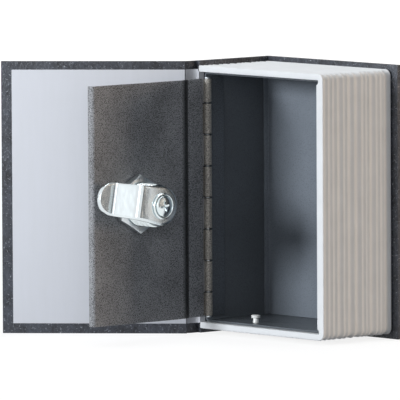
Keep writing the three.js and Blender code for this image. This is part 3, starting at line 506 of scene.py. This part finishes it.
def enamel(name, dark, light, size, depth, span=(0.46, 0.76), painted_crease=False):
    """Hammered stove enamel: close pebbles, lighter on the crowns as a painted highlight and darker in the
    pits as painted shade over the enamel's own mottle; where asked, painted shade along the door's crease.
    """
    finish = Finish(name, 0.4)
    pit = finish.range(finish.cells(size, smooth=0.35), 0.1, 0.42)
    worm = finish.noise(size * 0.5, detail=2.0, roughness=0.65, warp=0.6)
    height = finish.weighed((pit, 0.3), (worm, 0.9))
    cloud = finish.noise(16.0, detail=2.0)
    tone = finish.weighed((height, 0.85), (cloud, 0.15))
    # Colour follows pebble height: partly the enamel's own mottle, partly a painted highlight on the crowns
    # and painted shade in the pits.
    paint = finish.toned(tone, *span, dark, light)
    # Painted shade: the door's enamel is darkened along the crease, where the sheet turns away from the
    # light.
    if painted_crease:
        across = finish.math("SUBTRACT", BLOCK_CORNER.y / MM + HINGE_AXIS[1], finish.along("Y"))
        crease_shade_mask = finish.math("MULTIPLY", finish.range(across, DOOR_CREASE - 0.3, DOOR_CREASE + 0.1),
                             finish.range(across, DOOR_CREASE + 2.6, DOOR_CREASE + 5.2, 1.0, 0.0))
        paint = finish.mix(crease_shade_mask, paint, srgb(24, 25, 26))
    finish.colour(paint)
    finish.roughness(finish.range(height, 0.4, 0.9, 0.44, 0.24))
    finish.bump(height, depth)
    finish.specular(0.3)
    return finish.material


def hinge_enamel():
    """Dark enamel on the hinge leaves; the knuckles lighter, partly rubbed wear and partly a painted
    highlight, with painted shade at the gaps between knuckles.
    """
    finish = Finish("hinge_enamel", 0.34)
    away = finish.distance(PLACE @ Vector((*HINGE_AXIS, 0.0)), (1, 1, 0))
    # Knuckles lighter in colour: partly rubbed wear, partly a painted highlight.
    wear_and_highlight = finish.range(away, *KNUCKLE_EDGE, 1.0, 0.0)
    speck = finish.noise(0.45, detail=2.0, warp=0.6)
    dark = finish.toned(speck, 0.35, 0.7, srgb(76, 80, 85), srgb(112, 118, 125))
    light = finish.toned(speck, 0.35, 0.65, srgb(112, 108, 102), srgb(212, 205, 194))
    height = finish.math("SUBTRACT", finish.along("Z"), LOCK_AT[2])
    from_gap = finish.math("PINGPONG", height, KNUCKLE_PITCH / 2)
    # Painted shade near the gaps between knuckles.
    gap_shade = finish.math("MULTIPLY", finish.range(from_gap, *KNUCKLE_GAP_SHADE, 1.0, 0.0), wear_and_highlight)
    finish.colour(finish.mix(gap_shade, finish.mix(wear_and_highlight, dark, light), srgb(30, 31, 32)))
    finish.bump(speck, 0.08)
    return finish.material


def plated(name, colour, roughness, scratch, worn_at=None):
    """Plated metal with faint handling marks, a little duller round a point that has been gripped."""
    finish = Finish(name, roughness, 1.0)
    finish.colour(colour)
    mark = finish.noise(0.8, detail=4.0, stretch=(1, 1, 0.2))
    gloss = finish.range(mark, 0.35, 0.75, roughness, roughness + scratch)
    if worn_at:
        worn = finish.range(finish.distance(worn_at, (1, 1, 1)), *WORN_SPAN, WORN_ROUGHER, 0.0)
        gloss = finish.math("ADD", gloss, worn)
    finish.roughness(gloss)
    finish.bump(finish.noise(3.0, detail=2.0), 0.02, 0.4)
    return finish.material


def cap_plastic():
    """White plastic of the stud's cap."""
    finish = Finish("cap_plastic", 0.35)
    cloud = finish.noise(1.5)
    finish.colour(finish.toned(cloud, 0.3, 0.7, srgb(232, 232, 228), srgb(244, 244, 241)))
    return finish.material


FINISHES = {
    "leatherette": leatherette(),
    "board": board(),
    "endpaper": endpaper(),
    "page_block": page_plastic(),
    "painted_steel": enamel("box_enamel", srgb(96, 102, 109), srgb(130, 137, 145), 0.55, 0.05),
    # A darker copy of the box enamel for the walls: painted shade.
    "box_enamel_shaded": enamel("box_enamel_shaded", srgb(76, 80, 84), srgb(104, 109, 114), 0.55, 0.05),
    "door_enamel": enamel("door_enamel", srgb(34, 34, 35), srgb(196, 197, 200), 0.6, 0.16,
                          (0.55, 0.86), painted_crease=True),
    "hinge_enamel": hinge_enamel(),
    "chrome": plated("chrome", srgb(226, 235, 237), 0.11, 0.06),
    "cam_chrome": plated("cam_chrome", srgb(222, 230, 233), 0.08, 0.05, LOCK @ Vector((0, CAM_TOP, 0))),
    "zinc": plated("zinc", srgb(214, 220, 223), 0.27, 0.1),
    "brass": plated("brass", srgb(196, 160, 92), 0.28, 0.1),
    "white_cap": cap_plastic(),
}
SLOT_OF = {part["node"]: part["material_slot"] for part in frame["record"]["subparts"]}
BODY_OF = {node: body for body, nodes in frame["record"]["behaviour"]["bodies"].items() for node in nodes}


def ride(piece, node, slot, finish=None):
    """A piece takes a CAD node's body, a slot and a material."""
    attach(piece, BODY_OF[node])
    piece.data.materials.clear()
    piece.data.materials.append(FINISHES[finish or slot])


# Meshes. Points are in millimetres in a frame of their own, and a matrix places them.

def shade(mesh, angle=SHARP_ANGLE):
    """Smooth shading, broken at sharp edges."""
    mesh.shade_smooth()
    mesh.set_sharp_from_angle(angle=math.radians(angle))


def build(name, points, faces, matrix, angle):
    """A closed mesh from points and faces, with doubled points merged and its faces turned out."""
    form = bmesh.new()
    made = [form.verts.new(matrix @ Vector(point)) for point in points]
    for face in faces:
        form.faces.new([made[index] for index in face])
    bmesh.ops.remove_doubles(form, verts=form.verts, dist=0.001 * MM)
    bmesh.ops.recalc_face_normals(form, faces=form.faces)
    mesh = bpy.data.meshes.new(name)
    form.to_mesh(mesh)
    form.free()
    shade(mesh, angle)
    return link(bpy.data.objects.new(name, mesh))


def skin(name, sections, matrix, closed=False, angle=SHARP_ANGLE):
    """A skin through closed sections of equal counts, ended by flat faces unless it runs round."""
    count = len(sections[0])
    points = [point for section in sections for point in section]
    faces = []
    for row in range(len(sections) if closed else len(sections) - 1):
        here, there = row * count, (row + 1) % len(sections) * count
        for i in range(count):
            j = (i + 1) % count
            faces.append((here + i, here + j, there + j, there + i))
    if not closed:
        faces.append(tuple(range(count)))
        faces.append(tuple(len(points) - 1 - i for i in range(count)))
    return build(name, points, faces, matrix, angle)


def lathe(name, profile, matrix, steps=96):
    """A body of revolution about Y from a closed profile of (radius, y) points."""
    sections = []
    for i in range(steps):
        turn = 2 * math.pi * i / steps
        sections.append([(r * math.cos(turn), y, r * math.sin(turn)) for r, y in profile])
    return skin(name, sections, matrix, closed=True)


def rounded(profile, radius, steps=3):
    """A closed profile with each corner cut back by a small curve."""
    out = []
    count = len(profile)
    for i, here in enumerate(profile):
        here = Vector(here)
        before = Vector(profile[i - 1]) - here
        after = Vector(profile[(i + 1) % count]) - here
        reach = min(radius, before.length / 2.1, after.length / 2.1)
        if reach < 0.01 or abs(before.angle(after) - math.pi) < 0.2:
            out.append(tuple(here))
            continue
        start = here + before.normalized() * reach
        end = here + after.normalized() * reach
        for k in range(steps + 1):
            t = k / steps
            out.append(tuple((1 - t) ** 2 * start + 2 * t * (1 - t) * here + t ** 2 * end))
    return out


def cut_away(piece, tool):
    """Takes a closed tool out of a piece, for good."""
    change = piece.modifiers.new("cut", "BOOLEAN")
    change.object = tool
    change.operation = "DIFFERENCE"
    change.solver = "EXACT"
    graph = bpy.context.evaluated_depsgraph_get()
    result = bpy.data.meshes.new_from_object(piece.evaluated_get(graph))
    piece.modifiers.clear()
    old = piece.data
    piece.data = result
    result.name = old.name
    bpy.data.meshes.remove(old)
    bpy.data.objects.remove(tool)
    shade(result)


def softened(name, source, matrix, radius, steps=3):
    """A copy of a mesh with its edges rounded and its curves smooth."""
    form = bmesh.new()
    form.from_mesh(source)
    form.transform(matrix)
    bmesh.ops.remove_doubles(form, verts=form.verts, dist=0.002 * MM)
    bmesh.ops.dissolve_limit(form, angle_limit=math.radians(1), verts=form.verts, edges=form.edges)
    sharp = math.radians(SOFTENED_ANGLE)
    edges = [edge for edge in form.edges if edge.is_manifold and edge.calc_face_angle() > sharp]
    bmesh.ops.bevel(form, geom=edges, offset=radius * MM, segments=steps, profile=0.5,
                    affect="EDGES", clamp_overlap=True)
    form.verts.index_update()
    points = [vert.co.copy() for vert in form.verts]
    faces = [[vert.index for vert in face.verts] for face in form.faces]
    form.free()
    mesh = bpy.data.meshes.new(name)
    mesh.from_pydata(points, [], faces)
    shade(mesh)
    return link(bpy.data.objects.new(name, mesh))


def refined(node, radius, steps, finish):
    """Stands for a CAD node: the same solid, softened."""
    source = frame["nodes"][node]
    piece = softened(node + "_fine", source.data, source.matrix_world, radius, steps)
    ride(piece, node, SLOT_OF[node], finish)
    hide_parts(node)


# Page block

def rib_depth(y):
    """How far the block's skin lies under its crests at a depth y."""
    if y <= EDGE_ROUND or y >= BLOCK_DEPTH - EDGE_ROUND:
        return 0.0
    crests = [EDGE_ROUND] + [share * BLOCK_DEPTH for share in RIB_SHARES] + [BLOCK_DEPTH - EDGE_ROUND]
    for left, right in zip(crests, crests[1:]):
        if left <= y <= right:
            t = (y - left) / (right - left)
            wave = 0.45 * math.sin(math.pi * t) + 0.55 * (1 - math.cos(2 * math.pi * t)) / 2
            return wave * min(RIB_DEPTH, RIB_STEEPNESS * (right - left))
    return 0.0


def block_path():
    """Round the tail, fore-edge and head: (outer point, inner point, outward direction, lip)."""
    right, low, high = BLOCK_WIDTH - CORNER, TAIL + CORNER, HEAD - CORNER
    path = []

    def corner(height, inner_height, turn):
        way = (math.cos(turn), math.sin(turn))
        outer = (right + CORNER * way[0], height + CORNER * way[1])
        path.append((outer, (POCKET_RIGHT, inner_height), way, 0.0))

    for i in range(14):
        x = right * i / 13
        path.append(((x, TAIL), (x, POCKET_LOW), (0, -1), 0.0))
    for i in range(1, 9):
        corner(low, POCKET_LOW, math.pi / 2 * (i / 9 - 1))
    # Stations from either end of the fore-edge to its middle, closer where the lip rises
    half = (HEAD - TAIL) / 2
    near = CORNER + LIP_STATIONS[-1]
    middle = [near + (half - near) * i / 8 for i in range(1, 9)]
    stations = [CORNER + step for step in LIP_STATIONS] + middle
    for z in [TAIL + at for at in stations] + [HEAD - at for at in reversed(stations[:-1])]:
        from_end = min(z - POCKET_LOW, POCKET_HIGH - z)
        t = min(max((from_end - LIP_START) / LIP_RISE, 0.0), 1.0)
        inner = (POCKET_RIGHT, min(max(z, POCKET_LOW), POCKET_HIGH))
        path.append(((BLOCK_WIDTH, z), inner, (1, 0), RIM_LIP * t * t * (3 - 2 * t)))
    for i in range(1, 9):
        corner(high, POCKET_HIGH, math.pi / 2 * i / 9)
    for i in range(14):
        x = right * (1 - i / 13)
        path.append(((x, HEAD), (x, POCKET_HIGH), (0, 1), 0.0))
    return path


def page_moulding():
    """The ribbed plastic frame that stands for the pages."""
    r = EDGE_ROUND
    turns = [k * math.pi / 12 for k in range(7)]
    outer = [(r - r * math.cos(turn), r * math.sin(turn) - r) for turn in turns]
    ribs = [r + (BLOCK_DEPTH - 2 * r) * i / RIB_STEPS for i in range(1, RIB_STEPS)]
    back = [(BLOCK_DEPTH - depth, sink) for depth, sink in reversed(outer)]
    path = block_path()
    sections = []
    travelled = 0.0
    last = path[0][0]
    for outside, inside, way, lip in path:
        travelled += math.dist(outside, last)
        last = outside
        section = []

        def skin_point(y, out):
            section.append((outside[0] + way[0] * out, y, outside[1] + way[1] * out))

        def inner_point(y, reach):
            section.append((inside[0] - way[0] * reach, y, inside[1] - way[1] * reach))

        for y, out in outer:
            skin_point(y, out)
        for y in ribs:
            drift = RIB_DRIFT * noise.noise(Vector((travelled * 0.03, y * 0.25, 3.0)))
            wave = RIB_UNEVEN * noise.noise(Vector((travelled * 0.06, y * 0.7, 9.0)))
            fade = min((y - r) / RIB_FADE, (BLOCK_DEPTH - r - y) / RIB_FADE, 1.0)
            skin_point(y, -rib_depth(y + drift * fade) + wave * fade)
        for y, out in back:
            skin_point(y, out)
        inner_point(BLOCK_DEPTH, 0.0)
        inner_point(LIP_DEPTH, 0.0)
        inner_point(LIP_DEPTH, lip)
        for k in range(5):
            turn = k * math.pi / 8
            inner_point(LIP_ROUND * (1 - math.sin(turn)), lip - LIP_ROUND * (1 - math.cos(turn)))
        sections.append(section)
    piece = skin("page_moulding", sections, PLACE, angle=50)
    below, above = STUD_THROUGH
    hole = [(0, below), (STUD_HEAD, below), (STUD_HEAD, STUD_SINK),
            (STUD_SHANK, STUD_SINK), (STUD_SHANK, above), (0, above)]
    upright = PLACE @ Matrix.Translation((*STUD_AT, 0)) @ Matrix.Rotation(math.pi / 2, 4, "X")
    cut_away(piece, lathe("stud_hole", hole, upright, steps=48))
    ride(piece, "page_block", "page_block")
    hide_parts("page_block")


# Covers and joints

def bowed(start, bulge, end, steps=28):
    """Points on a smooth curve in plan from start to end, pulled towards bulge."""
    out = []
    for i in range(steps + 1):
        t = i / steps
        out.append(tuple((1 - t) ** 3 * start[k] + 3 * t * (1 - t) ** 2 * bulge[0][k]
                         + 3 * t * t * (1 - t) * bulge[1][k] + t ** 3 * end[k] for k in range(2)))
    return out


def upright_strip(name, line, thick, low, high):
    """A thin strip that stands on a line in plan, its thickness laid to the line's left."""
    loop_out, loop_in = [], []
    for i, here in enumerate(line):
        before, after = line[max(i - 1, 0)], line[min(i + 1, len(line) - 1)]
        way = Vector((after[0] - before[0], after[1] - before[1])).normalized()
        normal = Vector((-way.y, way.x))
        loop_out.append(Vector(here))
        loop_in.append(Vector(here) + normal * thick)
    loop = loop_out + loop_in[::-1]
    levels = [low + (high - low) * k / 24 for k in range(25)]
    return skin(name, [[(p.x, p.y, z) for p in loop] for z in levels], PLACE, angle=50)


def when_open(x, y):
    """Where a point of the shut cover lies in plan once the cover is open."""
    turned = Matrix.Rotation(-COVER_OPEN, 2) @ (Vector((x, y)) - COVER_AXIS) + COVER_AXIS
    return (turned.x, turned.y)


def joints():
    """Leatherette and endpaper, each in one piece from the spine to the open cover."""
    bulge = ((SPINE_OUTER, CLOTH_BULGE), when_open(COVER_LEFT - CLOTH_EASE, COVER_OUTER))
    line = bowed((SPINE_OUTER, SPINE_FRONT), bulge, when_open(COVER_LEFT + CLOTH_LAP, COVER_OUTER))
    cloth = upright_strip("joint_cloth", line, CLOTH_SHEET, CLOTH_INSET, COVER_HEIGHT - CLOTH_INSET)
    bulge = (PAPER_BULGE, when_open(COVER_LEFT + PAPER_EASE, PAPER_FACE))
    line = [(PAPER_INSIDE, y) for y in PAPER_TUCKED]
    line += bowed((PAPER_INSIDE, 0.0), bulge, when_open(COVER_LEFT + PAPER_LAP, PAPER_FACE))
    paper = upright_strip("joint_paper", line, PAPER_SHEET, PAPER_LOW, PAPER_HIGH)
    # The part that is tucked into the pocket is no taller than the pocket
    low = PLACE @ Vector((0, PAPER_MOUTH, POCKET_LOW + PAPER_PLAY))
    high = PLACE @ Vector((0, PAPER_MOUTH, POCKET_HIGH - PAPER_PLAY))
    for vertex in paper.data.vertices:
        if vertex.co.y > low.y:
            vertex.co.z = min(max(vertex.co.z, low.z), high.z)
    for piece, slot, node in ((cloth, "leatherette", "front_joint"), (paper, "endpaper", "joint_endpaper")):
        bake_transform(piece)
        piece.data.materials.append(FINISHES[slot])
        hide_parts(node)


# Door

def door_panel():
    """The door's sheet: a flat strip by the hinge, a crease, a long roll up to the panel, a flange."""
    half = DOOR_SHEET / 2
    roll = DOOR_ROLL - half
    bend = DOOR_BEND - half
    line = [((DOOR_START, DOOR_FLAT - half), (0, 1)), ((DOOR_CREASE - 0.1, DOOR_FLAT - half), (0, 1))]
    middle = (DOOR_CREASE + DOOR_ROLL * math.sin(DOOR_ROLL_TURN), DOOR_FACE - DOOR_ROLL)
    for i in range(17):
        turn = DOOR_ROLL_TURN * (1 - i / 16)
        way = (-math.sin(turn), math.cos(turn))
        line.append(((middle[0] + roll * way[0], middle[1] + roll * way[1]), way))
    middle = (DOOR_WIDTH - DOOR_BEND, DOOR_FACE - DOOR_BEND)
    for i in range(9):
        turn = math.pi / 2 * i / 8
        way = (math.sin(turn), math.cos(turn))
        line.append(((middle[0] + bend * way[0], middle[1] + bend * way[1]), way))
    line.append(((DOOR_WIDTH - half, DOOR_FACE - DOOR_SHEET - DOOR_FLANGE), (1, 0)))
    face = [(s + half * way[0], h + half * way[1]) for (s, h), way in line]
    back = [(s - half * way[0], h - half * way[1]) for (s, h), way in line]
    plan = face + back[::-1]
    low, high = LOCK_AT[2] - DOOR_HEIGHT / 2, LOCK_AT[2] + DOOR_HEIGHT / 2
    rough = skin("rough", [[(s, h, z) for s, h in plan] for z in (low, high)], DOOR)
    radius, flat = BARREL_RADIUS + BARREL_PLAY, FLATS + BARREL_PLAY
    turns = [k * math.pi / 48 for k in range(96)]
    hole = [(min(max(radius * math.cos(turn), -flat), flat), radius * math.sin(turn)) for turn in turns]
    through = [[(x, y, z) for x, z in hole] for y in (-5.0, 5.0)]
    cut_away(rough, skin("hole", through, HOUSING))
    piece = softened("door_panel", rough.data, Matrix(), DOOR_EDGE_ROUND)
    bpy.data.objects.remove(rough)
    ride(piece, "door_sheet", "painted_steel", "door_enamel")
    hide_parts("door_sheet")


# Lock

def cam_crank():
    """The cam's middle line, as (x, height) at close steps."""
    corners = [Vector((-CAM_HUB - 1, 0)), Vector((CAM_HUB_FLAT, 0)),
               Vector((CAM_LENGTH - CAM_TIP_FLAT, -CAM_DROP)), Vector((CAM_LENGTH + 1, -CAM_DROP))]
    line = [corners[0]]
    for before, here, after in zip(corners, corners[1:], corners[2:]):
        start = here + (before - here).normalized() * CAM_FOLD
        end = here + (after - here).normalized() * CAM_FOLD
        for k in range(13):
            t = k / 12
            line.append((1 - t) ** 2 * start + 2 * t * (1 - t) * here + t * t * end)
    line.append(corners[3])
    return line


def cam_at(line, x):
    """Height and direction of the cam's middle line."""
    for a, b in zip(line, line[1:]):
        if a.x <= x <= b.x:
            t = (x - a.x) / max(b.x - a.x, 1e-9)
            way = (b - a).normalized()
            return a.y + t * (b.y - a.y), way
    return line[-1].y, Vector((1, 0))


def lock_cam():
    """The cranked cam, its edges rolled off by the press."""
    tip = CAM_LENGTH - CAM_TIP
    line = cam_crank()
    half = CAM_SHEET / 2
    # Round the hub from its far end, along the tapered side, and round the tip
    stations = [("hub", math.pi - math.pi / 2 * i / 24) for i in range(1, 25)]
    stations += [("side", i / 60) for i in range(1, 60)]
    stations += [("tip", math.pi / 2 * (1 - i / 24)) for i in range(24)]
    roll, shoulder = CAM_ROLL, CAM_ROLL * 0.3
    layers = [(shoulder, -half + shoulder), (0, -half + roll), (0, half - roll), (shoulder, half - shoulder)]
    across = [k / 8 for k in range(-8, 9)]

    def edge(kind, value, inset):
        """The outline's x and half width at a station, drawn in by inset."""
        if kind == "side":
            x = value * tip
            return x, CAM_HUB + (CAM_TIP - CAM_HUB) * value - inset
        radius = (CAM_HUB if kind == "hub" else CAM_TIP) - inset
        middle = 0 if kind == "hub" else tip
        return middle + radius * math.cos(value), radius * math.sin(value)

    sections = []
    for kind, value in stations:
        x, w = edge(kind, value, roll)
        rim = [(*edge(kind, value, inset), level) for inset, level in layers]
        section = [(x, w * k, -half) for k in across] + rim
        section += [(x, w * k, half) for k in reversed(across)]
        section += [(x, -w, level) for x, w, level in reversed(rim)]
        placed = []
        for x, w, level in section:
            height, way = cam_at(line, x)
            placed.append((x - way.y * level, CAM_TOP - half + height + way.x * level, w))
        sections.append(placed)
    piece = skin("cam_plate", sections, LOCK, angle=50)
    ride(piece, "lock_cam", "chrome", "cam_chrome")
    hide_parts("lock_cam")


def lock_fastening():
    """Cup washer and cross-recessed screw on the cam."""
    seat, rim = WASHER_SEAT, WASHER_RADIUS
    floor, top = seat + WASHER_SHEET, seat + WASHER_HEIGHT
    washer = [(WASHER_BORE, seat), (rim, seat), (rim, seat + 0.45), (rim - 0.3, top), (rim - 0.9, top),
              (rim - 1.1, floor), (WASHER_BORE, floor)]
    piece = lathe("cam_washer", rounded(washer, 0.22), LOCK)
    ride(piece, "cup_washer", "chrome")
    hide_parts("cup_washer")
    seat, rim = SCREW_SEAT, SCREW_RADIUS
    point, shoulder = seat - SCREW_LENGTH, seat + SCREW_RIM
    screw = [(0, point), (SCREW_SHANK, point), (SCREW_SHANK, seat), (rim - 0.2, seat), (rim, seat + 0.15)]
    turns = [k * math.pi / 20 for k in range(10)]
    screw += [(rim * math.cos(turn), shoulder + SCREW_DOME * math.sin(turn)) for turn in turns]
    screw += [(0, shoulder + SCREW_DOME)]
    piece = lathe("cam_bolt", screw, LOCK)
    wing = [(2.6, seat + 2.4), (2.35, seat + 0.95), (0.8, seat + 0.1)]
    outline = [(-x, y) for x, y in wing] + wing[::-1]
    slot = [[(x, y, z) for x, y in outline] for z in (-RECESS_HALF_WIDTH, RECESS_HALF_WIDTH)]
    for turn in (0.0, math.pi / 2):
        cut_away(piece, skin("recess", slot, LOCK @ Matrix.Rotation(turn + RECESS_TURN, 4, "Y")))
    ride(piece, "cam_screw", "chrome")
    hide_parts("cam_screw")


def lock_barrel():
    """Housing with a rolled thread, two flats and the post that stops the washer."""
    front, seat, rim = HEAD_FRONT, HEAD_SEAT, HEAD_RADIUS
    head = [(PLUG_MOUTH, front), (rim - 0.8, front), (rim - 0.25, front + 0.25), (rim, front + 0.8),
            (rim, seat - 0.2), (rim - 0.2, seat)]
    floor = front + PLUG_MOUTH_DEPTH
    bore = [(PLUG_BORE + 0.2, BARREL_END), (PLUG_BORE, BARREL_END - 0.2), (PLUG_BORE, floor),
            (PLUG_MOUTH, floor)]
    levels = [seat + (BARREL_END - seat) * i / THREAD_STEPS for i in range(THREAD_STEPS + 1)]
    lead_depth, lead_length = THREAD_LEAD
    sections = []
    steps = 96
    for k in range(steps):
        turn = 2 * math.pi * k / steps
        flat = FLATS / max(abs(math.cos(turn)), 1e-6)
        thread = []
        for y in levels:
            tooth = abs(2 * ((y / THREAD_PITCH - k / steps) % 1.0) - 1)
            r = BARREL_RADIUS - THREAD_DEPTH * min(max((tooth - 0.15) / 0.7, 0.0), 1.0)
            r -= lead_depth * min(max((y - BARREL_END + lead_length) / lead_length, 0.0), 1.0)
            thread.append((min(r, flat), y))
        section = head + thread + bore
        sections.append([(r * math.cos(turn), y, r * math.sin(turn)) for r, y in section])
    piece = skin("lock_body", sections, HOUSING, closed=True, angle=40)
    post = rounded([(-POST_HALF_WIDTH, -POST_OUTER), (POST_HALF_WIDTH, -POST_OUTER),
                    (POST_HALF_WIDTH, -POST_INNER), (-POST_HALF_WIDTH, -POST_INNER)], 0.15)
    stop = skin("stop_post", [[(x, y, z) for x, z in post] for y in POST_LEVELS], HOUSING)
    for item in (piece, stop):
        ride(item, "lock_housing", "chrome")
    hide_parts("lock_housing")


def dress_nodes():
    """CAD nodes that show as they are, and those that are only refined."""
    for node in frame["nodes"]:
        data = frame["nodes"][node].data
        data.materials.clear()
        data.materials.append(FINISHES[SLOT_OF[node]])
    for node, (radius, steps, finish) in REFINED.items():
        refined(node, radius, steps, finish)


bpy.context.scene.view_settings.view_transform = "Standard"
make_camera()
make_world()
make_lamps()
make_card()
make_floor()
dress_nodes()
page_moulding()
joints()
door_panel()
lock_cam()
lock_fastening()
lock_barrel()
